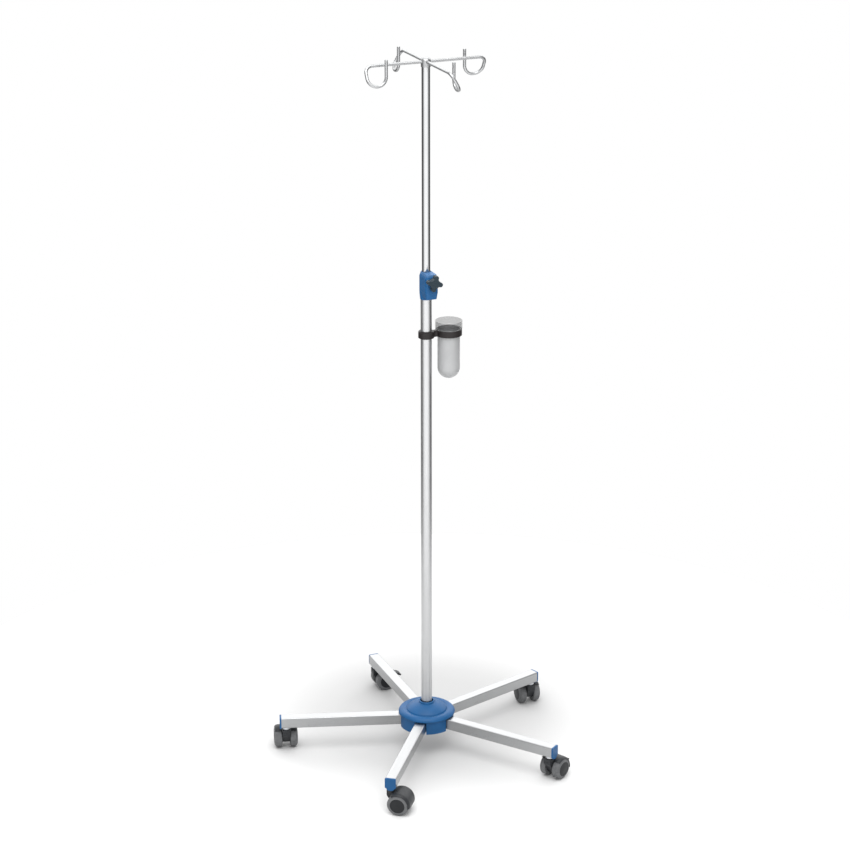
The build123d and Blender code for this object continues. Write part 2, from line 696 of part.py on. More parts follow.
with BuildPart() as clamp_body:
    # The sleeve narrows towards both ends
    with BuildSketch(Plane.XZ):
        with BuildLine():
            ThreePointArc(
                (CLAMP_FOOT_RADIUS, CLAMP_BOTTOM_Z),
                (CLAMP_RADIUS - 0.5, (CLAMP_BOTTOM_Z + CLAMP_TAPER_TOP_Z) / 2),
                (CLAMP_RADIUS, CLAMP_TAPER_TOP_Z),
            )
            Polyline(
                (CLAMP_RADIUS, CLAMP_TAPER_TOP_Z),
                (CLAMP_RADIUS, CLAMP_SHOULDER_Z),
                (CLAMP_RADIUS - CLAMP_SHOULDER * tan(radians(CLAMP_DRAFT)), CLAMP_TOP_Z),
                (0, CLAMP_TOP_Z),
                (0, CLAMP_BOTTOM_Z),
                (CLAMP_FOOT_RADIUS, CLAMP_BOTTOM_Z),
            )
        make_face()
    revolve(axis=Axis.Z)
    # Boss: full section, drafted shoulder and drafted lower end
    with BuildSketch(Plane.XY.offset(CLAMP_TAPER_TOP_Z)):
        add(boss_outline.sketch)
    extrude(amount=CLAMP_SHOULDER_Z - CLAMP_TAPER_TOP_Z)
    with BuildSketch(Plane.XY.offset(CLAMP_SHOULDER_Z)):
        add(boss_outline.sketch)
    extrude(amount=CLAMP_SHOULDER, taper=CLAMP_DRAFT)
    with BuildSketch(Plane.XY.offset(CLAMP_TAPER_TOP_Z)):
        add(boss_outline.sketch)
    extrude(amount=BOSS_BOTTOM_Z - CLAMP_TAPER_TOP_Z, taper=BOSS_DRAFT)
    # Bore for the lower tube and the bush, and a lip over the bush
    with BuildSketch(Plane.XY.offset(CLAMP_BOTTOM_Z)):
        Circle(LOWER_RADIUS)
    extrude(amount=BUSH_TOP_Z - CLAMP_BOTTOM_Z, mode=Mode.SUBTRACT)
    with BuildSketch(Plane.XY.offset(BUSH_TOP_Z)):
        Circle(UPPER_RADIUS + 0.7)
    extrude(amount=CLAMP_TOP_Z - BUSH_TOP_Z, mode=Mode.SUBTRACT)
    # Screw bore and the pocket of the moulded-in nut
    with BuildSketch(KNOB_PLANE):
        with Locations((0, KNOB_Z)):
            Circle(SCREW_BORE)
    extrude(amount=BOSS_REACH, mode=Mode.SUBTRACT)
    with BuildSketch(KNOB_PLANE.offset(NUT_REACH)):
        with Locations((0, KNOB_Z)):
            RegularPolygon(NUT_FLATS / 2, 6, major_radius=False)
    extrude(amount=NUT_THICKNESS, mode=Mode.SUBTRACT)
clamp_body.part.label = "clamp_body"
export_step(clamp_body.part, "parts/clamp_body.step")

with BuildPart() as clamp_bush:
    with BuildSketch(Plane.XY.offset(LOWER_TOP_Z)):
        Circle(LOWER_RADIUS)
        Circle(UPPER_RADIUS + RUNNING_GAP, mode=Mode.SUBTRACT)
    extrude(amount=BUSH_TOP_Z - LOWER_TOP_Z)
    with BuildSketch(KNOB_PLANE):
        with Locations((0, KNOB_Z)):
            Circle(SCREW_BORE)
    extrude(amount=LOWER_RADIUS, mode=Mode.SUBTRACT)
clamp_bush.part.label = "clamp_bush"
export_step(clamp_bush.part, "parts/clamp_bush.step")

with BuildPart() as clamp_nut:
    with BuildSketch(KNOB_PLANE.offset(NUT_REACH)):
        with Locations((0, KNOB_Z)):
            RegularPolygon(NUT_FLATS / 2, 6, major_radius=False)
            Circle(SCREW_RADIUS + RUNNING_GAP, mode=Mode.SUBTRACT)
    extrude(amount=NUT_THICKNESS)
clamp_nut.part.label = "clamp_nut"
export_step(clamp_nut.part, "parts/clamp_nut.step")

# Pad: hollowed to the upper tube on one side, with a socket for the screw on the other
PAD_SOCKET_RADIUS = 2.0
PAD_SOCKET_DEPTH = 2.3

with BuildPart() as clamp_pad:
    with BuildSketch(KNOB_PLANE.offset(UPPER_RADIUS - 1.2)):
        with Locations((0, KNOB_Z)):
            Circle(SCREW_RADIUS)
    extrude(amount=PAD_BACK - UPPER_RADIUS + 1.2)
    with BuildSketch(Plane.XY.offset(KNOB_Z - 2 * SCREW_RADIUS)):
        Circle(UPPER_RADIUS + FREE_GAP)
    extrude(amount=4 * SCREW_RADIUS, mode=Mode.SUBTRACT)
    with BuildSketch(KNOB_PLANE.offset(PAD_BACK)):
        with Locations((0, KNOB_Z)):
            Circle(PAD_SOCKET_RADIUS + RUNNING_GAP)
    extrude(amount=-PAD_SOCKET_DEPTH, mode=Mode.SUBTRACT)
clamp_pad.part.label = "clamp_pad"
export_step(clamp_pad.part, "parts/clamp_pad.step")

SCREW_TIP = PAD_BACK + FREE_GAP
SCREW_IN_KNOB = 7.0
SCREW_END = KNOB_FACE + KNOB_COLLAR + SCREW_IN_KNOB

with BuildPart() as clamp_screw:
    with BuildSketch(KNOB_PLANE.offset(SCREW_TIP)):
        with Locations((0, KNOB_Z)):
            Circle(SCREW_RADIUS)
    extrude(amount=SCREW_END - SCREW_TIP)
    with BuildSketch(KNOB_PLANE.offset(SCREW_TIP)):
        with Locations((0, KNOB_Z)):
            Circle(PAD_SOCKET_RADIUS)
    extrude(amount=-PAD_SOCKET_DEPTH)
clamp_screw.part.label = "clamp_screw"
export_step(clamp_screw.part, "parts/clamp_screw.step")

with BuildPart() as clamp_knob:
    with BuildSketch(KNOB_PLANE.offset(KNOB_FACE + KNOB_COLLAR)) as knob_outline:
        with Locations((0, KNOB_Z)):
            for turn in (0, 90):
                SlotCenterToCenter(
                    2 * KNOB_LOBE_REACH,
                    2 * KNOB_LOBE_RADIUS,
                    rotation=KNOB_ANGLE + turn,
                )
            Circle(KNOB_CORE_RADIUS)
        # Only the inner corners between the lobes and the core are rounded
        middle = Vector(0, KNOB_Z, 0)
        valleys = [
            corner
            for corner in knob_outline.vertices()
            if (Vector(*corner) - middle).length < KNOB_CORE_RADIUS + 0.5
        ]
        fillet(valleys, radius=KNOB_VALLEY)
    extrude(amount=KNOB_THICKNESS)
    fillet(clamp_knob.faces().sort_by(Axis.Y)[0].edges(), radius=KNOB_EDGE)
    with BuildSketch(KNOB_PLANE.offset(KNOB_FACE)):
        with Locations((0, KNOB_Z)):
            Circle(KNOB_CORE_RADIUS - 1.5)
    extrude(amount=KNOB_COLLAR + 2.0)
    with BuildSketch(KNOB_PLANE.offset(KNOB_FACE)):
        with Locations((0, KNOB_Z)):
            Circle(SCREW_RADIUS)
    extrude(amount=SCREW_END - KNOB_FACE, mode=Mode.SUBTRACT)
clamp_knob.part.label = "clamp_knob"
export_step(clamp_knob.part, "parts/clamp_knob.step")

# ---------------------------------------------------------------- hook head

with BuildPart() as hook_head:
    with BuildSketch(Plane.XZ):
        with BuildLine():
            Polyline(
                (HEAD_FLAT, HEAD_TOP_Z),
                (0, HEAD_TOP_Z),
                (0, UPPER_TOP_Z - HEAD_PLUG),
                (UPPER_BORE, UPPER_TOP_Z - HEAD_PLUG),
                (UPPER_BORE, UPPER_TOP_Z),
                (HEAD_RADIUS, UPPER_TOP_Z),
                (HEAD_RADIUS, HEAD_SHOULDER_Z),
            )
            ThreePointArc(
                (HEAD_RADIUS, HEAD_SHOULDER_Z),
                (HEAD_FLAT + 4.2, HEAD_TOP_Z - 1.4),
                (HEAD_FLAT, HEAD_TOP_Z),
            )
        make_face()
    revolve(axis=Axis.Z)
    for index in range(HOOK_COUNT):
        with BuildSketch(across(index * 360.0 / HOOK_COUNT, ARM_SOCKET, ARM_Z)):
            Circle(ARM_RADIUS)
        extrude(amount=HEAD_RADIUS, mode=Mode.SUBTRACT)
hook_head.part.label = "hook_head"
export_step(hook_head.part, "parts/hook_head.step")

for index in range(HOOK_COUNT):
    arm_angle = index * 360.0 / HOOK_COUNT
    outward = heading(arm_angle)
    sideways = UP.cross(outward)
    arm_start = outward * ARM_SOCKET + UP * ARM_Z
    arm_end = outward * HOOK_REACH + UP * ARM_Z
    loop_outer = arm_end + sideways * HOOK_SIDE - UP * HOOK_DROP
    loop_inner = loop_outer - outward * HOOK_RETURN
    tip = loop_inner + UP * (HOOK_DROP + TIP_RISE)
    with BuildPart() as hook:
        with BuildLine() as centreline:
            FilletPolyline(
                arm_start,
                arm_end,
                loop_outer,
                loop_inner,
                tip,
                radius=(HOOK_TOP_BEND, HOOK_BEND, HOOK_BEND),
            )
        with BuildSketch(across(arm_angle, ARM_SOCKET, ARM_Z)):
            Circle(ARM_RADIUS)
        sweep(path=centreline.line)
        tip_face = hook.faces().filter_by(GeomType.PLANE).sort_by(Axis.Z)[-1]
        fillet(tip_face.edges(), radius=TIP_ROUND)
    hook.part.label = f"hook_{index + 1}"
    export_step(hook.part, f"parts/hook_{index + 1}.step")

# ---------------------------------------------------------------- cup and its ring

RING_BOTTOM_Z = RING_TOP_Z - RING_HEIGHT
CUP_CENTRE = Vector(CUP_OFFSET, 0, 0)
NECK_WIDTH = 10.0
NECK_FILLET = 3.0

with BuildPart() as bracket_liner:
    with BuildSketch(Plane.XY.offset(RING_BOTTOM_Z - FREE_GAP)):
        Circle(LINER_RADIUS)
    extrude(amount=RING_HEIGHT + 2 * FREE_GAP)
    with BuildSketch(Plane.XY.offset(RING_TOP_Z + FREE_GAP)):
        Circle(LINER_LIP_RADIUS)
    extrude(amount=LINER_LIP)
    with BuildSketch(Plane.XY.offset(RING_BOTTOM_Z - FREE_GAP)):
        Circle(LINER_LIP_RADIUS)
    extrude(amount=-LINER_LIP)
    with BuildSketch(Plane.XY.offset(RING_BOTTOM_Z - FREE_GAP - LINER_LIP)):
        Circle(LOWER_RADIUS + RUNNING_GAP)
    extrude(amount=RING_HEIGHT + 2 * FREE_GAP + 2 * LINER_LIP, mode=Mode.SUBTRACT)
bracket_liner.part.label = "bracket_liner"
export_step(bracket_liner.part, "parts/bracket_liner.step")

with BuildPart() as cup_bracket:
    with BuildSketch(Plane.XY.offset(RING_BOTTOM_Z)):
        Circle(POLE_RING_RADIUS)
        with Locations(CUP_CENTRE):
            Circle(CUP_RING_RADIUS)
        with Locations(CUP_CENTRE / 2):
            Rectangle(CUP_OFFSET - CUP_RING_BORE / 2, NECK_WIDTH)
    extrude(amount=RING_HEIGHT)
    neck_corners = cup_bracket.edges().filter_by(Axis.Z).filter_by(GeomType.LINE)
    fillet(neck_corners, radius=NECK_FILLET)
    fillet(cup_bracket.faces().filter_by(Axis.Z).sort_by(Axis.Z)[-1].edges(), radius=1.0)
    with BuildSketch(Plane.XY.offset(RING_BOTTOM_Z)):
        Circle(LINER_RADIUS + RUNNING_GAP)
        with Locations(CUP_CENTRE):
            Circle(CUP_RING_BORE)
    extrude(amount=RING_HEIGHT, mode=Mode.SUBTRACT)
cup_bracket.part.label = "cup_bracket"
export_step(cup_bracket.part, "parts/cup_bracket.step")

# Cup section, drawn from the cup's own axis: round bottom, straight wall and a wider
# collar that rests on the ring
CUP_PLANE = Plane(origin=CUP_CENTRE, x_dir=(1, 0, 0), z_dir=(0, -1, 0))
CUP_BORE = CUP_RADIUS - CUP_WALL
BOWL_Z = CUP_BOTTOM_Z + CUP_RADIUS
SEAT_Z = RING_TOP_Z + FREE_GAP
HALF_TURN = sin(radians(45))

with BuildPart() as cup:
    with BuildSketch(CUP_PLANE):
        with BuildLine():
            ThreePointArc(
                (0, CUP_BOTTOM_Z),
                (CUP_RADIUS * HALF_TURN, BOWL_Z - CUP_RADIUS * HALF_TURN),
                (CUP_RADIUS, BOWL_Z),
            )
            FilletPolyline(
                (CUP_RADIUS, BOWL_Z),
                (CUP_RADIUS, SEAT_Z),
                (COLLAR_RADIUS, SEAT_Z),
                (COLLAR_RADIUS, CUP_RIM_Z),
                (COLLAR_RADIUS - CUP_WALL, CUP_RIM_Z),
                (COLLAR_RADIUS - CUP_WALL, SEAT_Z + CUP_WALL),
                (CUP_BORE, SEAT_Z + CUP_WALL - 0.4),
                (CUP_BORE, BOWL_Z),
                radius=(0, 2.0, 0.6, 0.6, 0.8, 1.2),
            )
            ThreePointArc(
                (CUP_BORE, BOWL_Z),
                (CUP_BORE * HALF_TURN, BOWL_Z - CUP_BORE * HALF_TURN),
                (0, BOWL_Z - CUP_BORE),
            )
            Line((0, BOWL_Z - CUP_BORE), (0, CUP_BOTTOM_Z))
        make_face()
    revolve(axis=Axis(CUP_CENTRE, UP))
cup.part.label = "cup"
export_step(cup.part, "parts/cup.step")
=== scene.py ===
"""Infusion stand: looks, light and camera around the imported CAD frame. Metres, Z up."""

import math

import bpy
from mathutils import Euler, Matrix, Vector

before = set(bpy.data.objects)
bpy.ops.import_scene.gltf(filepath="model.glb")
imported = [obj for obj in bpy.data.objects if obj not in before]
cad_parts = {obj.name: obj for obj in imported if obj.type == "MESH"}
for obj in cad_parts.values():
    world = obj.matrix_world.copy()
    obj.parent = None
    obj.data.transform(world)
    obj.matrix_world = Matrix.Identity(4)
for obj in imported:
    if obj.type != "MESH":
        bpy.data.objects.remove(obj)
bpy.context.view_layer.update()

CASTERS = range(1, 6)
BRAKED = (2, 4)
HOOKS = range(1, 5)
SIDES = ("left", "right")
LEG_TURN = 72.0
FIRST_LEG_ANGLE = -126.0

# Texture scales, in repeats a metre
CLOUD_SCALE = 38.0
SCUFF_SCALE = 260.0
SMUDGE_SCALE = 24.0
METAL_HAZE_SCALE = 17.0
ZINC_CELL_SCALE = 420.0
ZINC_HAZE_SCALE = 90.0
MILK_SCALE = 30.0
CUP_GRAIN_SCALE = 1100.0
CUP_FLOW_STRETCH = (420.0, 420.0, 9.0)
TURNING_STRETCH = (12.0, 12.0, 2600.0)
DUST_SCALE = 120.0
TREAD_GRAIN_SCALE = 900.0
PAPER_SCALE = 300.0
LINE_SQUASH = 0.012

# Bump depths, in metres
PLASTIC_GRAIN_DEPTH = 0.00008
ZINC_DEPTH = 0.00004
CUP_GRAIN_DEPTH = 0.00005
TURNING_DEPTH = 0.00004
TREAD_GRAIN_DEPTH = 0.00010

# Surface values
PLASTIC_SPECULAR = 0.3
CUP_IOR = 1.49
CUP_TRANSMISSION = 0.25
PAPER_ROUGHNESS = 0.9
PAPER_SPECULAR = 0.1


# ---------------------------------------------------------------- node helpers

def node(tree, kind, **settings):
    """A new shader node of that kind, with its plain properties set."""
    made = tree.nodes.new("ShaderNode" + kind)
    for key, value in settings.items():
        setattr(made, key, value)
    return made


def join(tree, source, target):
    """Links an output to an input."""
    tree.links.new(source, target)


def new_material(name):
    """A material with a Principled shader: (material, tree, shader)."""
    material = bpy.data.materials.new(name)
    material.use_nodes = True
    tree = material.node_tree
    return material, tree, tree.nodes["Principled BSDF"]


def place(tree, stretch=(1.0, 1.0, 1.0), turn=0.0):
    """The piece's own coordinates, turned about Z, then stretched."""
    coordinates = node(tree, "TexCoord")
    turned = node(tree, "Mapping", vector_type="POINT")
    turned.inputs["Rotation"].default_value = (0.0, 0.0, math.radians(-turn))
    stretched = node(tree, "Mapping", vector_type="POINT")
    stretched.inputs["Scale"].default_value = stretch
    join(tree, coordinates.outputs["Object"], turned.inputs["Vector"])
    join(tree, turned.outputs["Vector"], stretched.inputs["Vector"])
    return stretched.outputs["Vector"]


def noise(tree, where, scale, detail=2.0, rough=0.5):
    """A noise pattern's value at the given coordinates."""
    pattern = node(tree, "TexNoise")
    pattern.inputs["Scale"].default_value = scale
    pattern.inputs["Detail"].default_value = detail
    pattern.inputs["Roughness"].default_value = rough
    join(tree, where, pattern.inputs["Vector"])
    return pattern.outputs["Fac"]


def spread(tree, value, low, high, at_low=0.3, at_high=0.7):
    """The value's range at_low to at_high carried to low to high."""
    ranged = node(tree, "MapRange")
    ranged.inputs["From Min"].default_value = at_low
    ranged.inputs["From Max"].default_value = at_high
    ranged.inputs["To Min"].default_value = low
    ranged.inputs["To Max"].default_value = high
    join(tree, value, ranged.inputs["Value"])
    return ranged.outputs["Result"]


def two_tone(tree, value, first, second):
    """first where the value is 0, second where it is 1."""
    mixed = node(tree, "Mix", data_type="RGBA")
    mixed.inputs["A"].default_value = (*first, 1.0)
    mixed.inputs["B"].default_value = (*second, 1.0)
    join(tree, value, mixed.inputs["Factor"])
    return mixed.outputs["Result"]


def bump(tree, height, depth, strength=1.0, base=None):
    """A normal raised by the height, depth metres high."""
    raised = node(tree, "Bump")
    raised.inputs["Strength"].default_value = strength
    raised.inputs["Distance"].default_value = depth
    join(tree, height, raised.inputs["Height"])
    if base is not None:
        join(tree, base, raised.inputs["Normal"])
    return raised.outputs["Normal"]


def soft_edges(tree, radius):
    """A normal that rounds sharp edges over the radius."""
    rounded = node(tree, "Bevel", samples=4)
    rounded.inputs["Radius"].default_value = radius
    return rounded.outputs["Normal"]


def edge_mask(tree, rounded, at_full=0.12):
    """1 on edges and 0 on flats, from how far the rounded normal leans."""
    flat = node(tree, "NewGeometry")
    lean = node(tree, "VectorMath", operation="DOT_PRODUCT")
    join(tree, rounded, lean.inputs[0])
    join(tree, flat.outputs["Normal"], lean.inputs[1])
    return spread(tree, lean.outputs["Value"], 1.0, 0.0, 1.0 - at_full, 1.0)


def height_share(tree, low, high):
    """0 below the low height and 1 above the high one, in the piece's own coordinates."""
    parts = node(tree, "SeparateXYZ")
    join(tree, place(tree), parts.inputs["Vector"])
    return spread(tree, parts.outputs["Z"], 0.0, 1.0, low, high)


# ---------------------------------------------------------------- materials

def moulded_plastic(name, colour, wear_and_painted_shadow, gloss=(0.32, 0.42), grain=1400.0, edge=0.0005, painted_top_light=None):
    """Injection-moulded plastic: faint mottling, fine grain, and edges rubbed lighter. A part
    whose top
    faces the light gets a painted top light: a paler colour above a height, given as (height,
    colour)."""
    material, tree, shader = new_material(name)
    where = place(tree)
    cloud = noise(tree, where, CLOUD_SCALE, 3.0)
    dark = [channel * 0.90 for channel in colour]
    light = [channel * 1.08 for channel in colour]
    body = two_tone(tree, spread(tree, cloud, 0.0, 1.0), dark, light)
    # Painted top light: a paler colour above the given height, where the top faces the light
    if painted_top_light is not None:
        top_light_mix = node(tree, "Mix", data_type="RGBA")
        join(tree, height_share(tree, painted_top_light[0], painted_top_light[0] + PALE_FADE), top_light_mix.inputs["Factor"])
        join(tree, body, top_light_mix.inputs["A"])
        top_light_mix.inputs["B"].default_value = (*painted_top_light[1], 1.0)
        body = top_light_mix.outputs["Result"]
    rounded = soft_edges(tree, edge)
    scuffs = noise(tree, where, SCUFF_SCALE, 4.0, 0.7)
    rubbed = node(tree, "Math", operation="MULTIPLY")
    join(tree, edge_mask(tree, rounded), rubbed.inputs[0])
    join(tree, spread(tree, scuffs, 0.15, 0.8), rubbed.inputs[1])
    mixed = node(tree, "Mix", data_type="RGBA")
    join(tree, rubbed.outputs["Value"], mixed.inputs["Factor"])
    join(tree, body, mixed.inputs["A"])
    mixed.inputs["B"].default_value = (*wear_and_painted_shadow, 1.0)
    join(tree, mixed.outputs["Result"], shader.inputs["Base Color"])
    smudge = noise(tree, where, SMUDGE_SCALE, 4.0, 0.6)
    join(tree, spread(tree, smudge, gloss[0], gloss[1]), shader.inputs["Roughness"])
    fine = noise(tree, where, grain, 1.0)
    join(tree, bump(tree, fine, PLASTIC_GRAIN_DEPTH, 0.35, rounded), shader.inputs["Normal"])
    shader.inputs["Specular IOR Level"].default_value = PLASTIC_SPECULAR
    return material


def drawn_metal(name, colour, gloss, lines, turn=0.0, along=2, depth=0.00003, edge=0.0004):
    """Drawn or brushed metal: fine lines along one axis, and gloss that varies with them."""
    material, tree, shader = new_material(name)
    stretch = [lines, lines, lines]
    stretch[along] = lines * LINE_SQUASH
    where = place(tree, tuple(stretch), turn)
    streak = noise(tree, where, 1.0, 3.0, 0.6)
    plain = place(tree)
    haze = noise(tree, plain, METAL_HAZE_SCALE, 4.0, 0.55)
    dull = [channel * 0.93 for channel in colour]
    tone = two_tone(tree, spread(tree, haze, 0.0, 1.0), dull, colour)
    join(tree, tone, shader.inputs["Base Color"])
    both = node(tree, "Math", operation="ADD")
    join(tree, spread(tree, streak, 0.0, gloss[1] - gloss[0]), both.inputs[0])
    join(tree, spread(tree, haze, gloss[0], gloss[0] + 0.04), both.inputs[1])
    join(tree, both.outputs["Value"], shader.inputs["Roughness"])
    rounded = soft_edges(tree, edge)
    join(tree, bump(tree, streak, depth, 0.5, rounded), shader.inputs["Normal"])
    shader.inputs["Metallic"].default_value = 1.0
    return material


def zinc_plate(name):
    """Zinc-plated steel of the hidden fasteners: cloudy grey with a faint blue cast."""
    material, tree, shader = new_material(name)
    where = place(tree)
    cells = node(tree, "TexVoronoi")
    cells.inputs["Scale"].default_value = ZINC_CELL_SCALE
    join(tree, where, cells.inputs["Vector"])
    tint = two_tone(tree, cells.outputs["Distance"], *ZINC_TONES)
    join(tree, tint, shader.inputs["Base Color"])
    haze = noise(tree, where, ZINC_HAZE_SCALE, 4.0)
    join(tree, spread(tree, haze, 0.28, 0.46), shader.inputs["Roughness"])
    raised = bump(tree, haze, ZINC_DEPTH, 0.4, soft_edges(tree, 0.0004))
    join(tree, raised, shader.inputs["Normal"])
    shader.inputs["Metallic"].default_value = 1.0
    return material


def frosted_cup():
    """Polypropylene cup: a milky body with flow lines, and an almost clear collar above it."""
    material, tree, shader = new_material("frosted_polypropylene")
    where = place(tree)
    collar = height_share(tree, CLEAR_FROM, CLEAR_FROM + CLEAR_FADE)
    milk = noise(tree, where, MILK_SCALE, 3.0)
    milky = two_tone(tree, spread(tree, milk, 0.0, 1.0), *CUP_TONES)
    tone = node(tree, "Mix", data_type="RGBA")
    join(tree, collar, tone.inputs["Factor"])
    join(tree, milky, tone.inputs["A"])
    tone.inputs["B"].default_value = (*COLLAR_TINT, 1.0)
    join(tree, tone.outputs["Result"], shader.inputs["Base Color"])
    flow = noise(tree, place(tree, CUP_FLOW_STRETCH), 1.0, 2.0)
    join(tree, spread(tree, flow, 0.30, 0.44), shader.inputs["Roughness"])
    fine = noise(tree, where, CUP_GRAIN_SCALE, 1.0)
    raised = bump(tree, fine, CUP_GRAIN_DEPTH, 0.4, soft_edges(tree, 0.0006))
    join(tree, raised, shader.inputs["Normal"])
    join(tree, spread(tree, collar, 1.0, COLLAR_COVER, 0.0, 1.0), shader.inputs["Alpha"])
    shader.inputs["Transmission Weight"].default_value = CUP_TRANSMISSION
    shader.inputs["IOR"].default_value = CUP_IOR
    return material


def white_nylon():
    """Machined white nylon of the bushes and the slider, with faint turning lines."""
    material, tree, shader = new_material("white_nylon")
    turning = noise(tree, place(tree, TURNING_STRETCH), 1.0, 2.0)
    tone = two_tone(tree, spread(tree, turning, 0.0, 1.0), *NYLON_TONES)
    join(tree, tone, shader.inputs["Base Color"])
    join(tree, spread(tree, turning, 0.40, 0.55), shader.inputs["Roughness"])
    raised = bump(tree, turning, TURNING_DEPTH, 0.5, soft_edges(tree, 0.0003))
    join(tree, raised, shader.inputs["Normal"])
    return material


def tyre_rubber():
    """Grey thermoplastic tread, matt, with dust in its fine grain."""
    material, tree, shader = new_material("tyre_rubber")
    where = place(tree)
    dust = noise(tree, where, DUST_SCALE, 5.0, 0.65)
    tone = two_tone(tree, spread(tree, dust, 0.0, 1.0), *TREAD_TONES)
    join(tree, tone, shader.inputs["Base Color"])
    join(tree, spread(tree, dust, 0.50, 0.68), shader.inputs["Roughness"])
    fine = noise(tree, where, TREAD_GRAIN_SCALE, 2.0)
    raised = bump(tree, fine, TREAD_GRAIN_DEPTH, 0.45, soft_edges(tree, 0.0006))
    join(tree, raised, shader.inputs["Normal"])
    return material


# The cup turns clear above this height, over a short fade
CLEAR_FROM = 1.0065
CLEAR_FADE = 0.003
COLLAR_COVER = 0.30
COLLAR_TINT = (0.13, 0.133, 0.136)
CUP_TONES = ((0.46, 0.465, 0.47), (0.51, 0.515, 0.52))
NYLON_TONES = ((0.66, 0.65, 0.61), (0.78, 0.77, 0.74))
TREAD_TONES = ((0.088, 0.091, 0.095), (0.150, 0.153, 0.158))
ZINC_TONES = ((0.52, 0.55, 0.60), (0.68, 0.69, 0.70))

BLUE = (0.006, 0.084, 0.233)
BLUE_WORN = (0.050, 0.150, 0.320)
# Painted top light: the clamp is painted paler above this height, where its top faces the light,
# over a short fade
CLAMP_PAINTED_TOP_LIGHT = (1.1550, (0.045, 0.135, 0.300))
PALE_FADE = 0.0015
SLATE = (0.012, 0.013, 0.015)
SLATE_WORN = (0.060, 0.064, 0.070)
KNOB_SLATE = (0.012, 0.024, 0.034)
RING_BLACK = (0.014, 0.011, 0.011)
CHARCOAL = (0.022, 0.024, 0.027)
LEG_STEEL = (0.40, 0.405, 0.41)
STEEL = (0.53, 0.535, 0.54)
CHROME = (0.47, 0.475, 0.48)
ROD_STEEL = (0.42, 0.425, 0.43)

blue_cover = moulded_plastic("blue_cover_plastic", BLUE, BLUE_WORN, (0.42, 0.52))
blue_caps = moulded_plastic("blue_cap_plastic", BLUE, BLUE_WORN, (0.40, 0.50))
# The clamp's paler top band is painted light
blue_clamp = moulded_plastic("blue_clamp_plastic", BLUE, BLUE_WORN, (0.48, 0.58), painted_top_light=CLAMP_PAINTED_TOP_LIGHT)
black_knob = moulded_plastic("black_knob_plastic", KNOB_SLATE, SLATE_WORN, (0.34, 0.46), 1800.0)
black_ring = moulded_plastic("black_ring_plastic", RING_BLACK, SLATE_WORN, (0.40, 0.52))
caster_shell = moulded_plastic("caster_shell_plastic", CHARCOAL, SLATE_WORN, (0.38, 0.50))
wheel_centre = moulded_plastic("wheel_centre_plastic", SLATE, SLATE_WORN, (0.40, 0.52))
satin_tube = drawn_metal("satin_tube_steel", STEEL, (0.29, 0.37), 900.0)
bright_tube = drawn_metal("bright_tube_steel", CHROME, (0.06, 0.11), 700.0, depth=0.00001)
bright_rod = drawn_metal("bright_rod_steel", ROD_STEEL, (0.30, 0.40), 260.0, depth=0.00001)
zinc = zinc_plate("zinc_plated_steel")
frosted = frosted_cup()
nylon = white_nylon()
tread = tyre_rubber()


# ---------------------------------------------------------------- finishes on the CAD nodes

def dress(name, material):
    """Gives a CAD node its material."""
    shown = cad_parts[name]
    if not shown.material_slots:
        shown.data.materials.append(material)
    for slot in shown.material_slots:
        slot.material = material


dress("hub_cover", blue_cover)
dress("leg_end_caps", blue_caps)
dress("clamp_body", blue_clamp)
dress("clamp_knob", black_knob)
dress("bracket_liner", black_ring)
dress("cup_bracket", black_ring)
dress("cup", frosted)
dress("lower_tube", satin_tube)
dress("upper_tube", bright_tube)
dress("hook_head", bright_rod)
for hidden in ("hub_core", "mast_bolt", "mast_plug", "caster_stems", "clamp_nut", "clamp_screw"):
    dress(hidden, zinc)
for moulding in ("tube_slider", "clamp_bush", "clamp_pad"):
    dress(moulding, nylon)
for number in HOOKS:
    dress(f"hook_{number}", bright_rod)
for number in CASTERS:
    angle = FIRST_LEG_ANGLE + LEG_TURN * (number - 1)
    leg_steel = drawn_metal(f"leg_steel_{number}", LEG_STEEL, (0.24, 0.34), 800.0, angle, 0)
    dress(f"leg_{number}", leg_steel)
    dress(f"caster_housing_{number}", caster_shell)
    dress(f"caster_axle_{number}", zinc)
    for side in SIDES:
        dress(f"wheel_{number}_{side}", wheel_centre)
        dress(f"tyre_{number}_{side}", tread)
for braked in BRAKED:
    dress(f"brake_pedal_{braked}", caster_shell)


# ---------------------------------------------------------------- floor, light and camera

CAMERA_AZIMUTH = -22.3
CAMERA_DISTANCE = 5.335
CAMERA_HEIGHT = 2.727
CAMERA_PITCH = 19.86
CAMERA_ROLL = 0.08
FOCAL_PIXELS = 2520.0
SHIFT_PIXELS = 1.3
IMAGE_PIXELS = 850.0
SENSOR_WIDTH = 36.0
FLOOR_RADIUS = 1.3
FLOOR_TONE = ((0.775, 0.775, 0.775), (0.79, 0.79, 0.79))
# Painted shadow: its middle sits this far behind the mast, away from the camera
PAINTED_SHADOW_BEHIND = 0.15
# Painted shadow under the stand: floor shade by distance from its middle, in metres
PAINTED_SHADOW_SHADES = (
    (0.05, 0.66),
    (0.20, 0.665),
    (0.27, 0.70),
    (0.33, 0.765),
    (0.38, 0.82),
    (0.45, 0.93),
    (0.52, 1.0),
)
FLOOR_RINGS = 24
FLOOR_SEGMENTS = 96
FLOOR_SPREAD = 1.5
CLIP_END = 60.0


def toward_camera():
    """The level direction from the mast to the camera."""
    turn = math.radians(CAMERA_AZIMUTH)
    return Vector((math.sin(turn), -math.cos(turn), 0.0))


def ramp(tree, value, shades):
    """A smooth grey ramp over the value, from (position, shade) pairs in rising order."""
    made = node(tree, "ValToRGB")
    stops = made.color_ramp.elements
    stops[0].position, stops[1].position = shades[0][0], shades[-1][0]
    stops[0].color = (shades[0][1],) * 3 + (1.0,)
    stops[1].color = (shades[-1][1],) * 3 + (1.0,)
    for position, shade in shades[1:-1]:
        stops.new(position).color = (shade,) * 3 + (1.0,)
    join(tree, value, made.inputs["Fac"])
    return made.outputs["Color"]


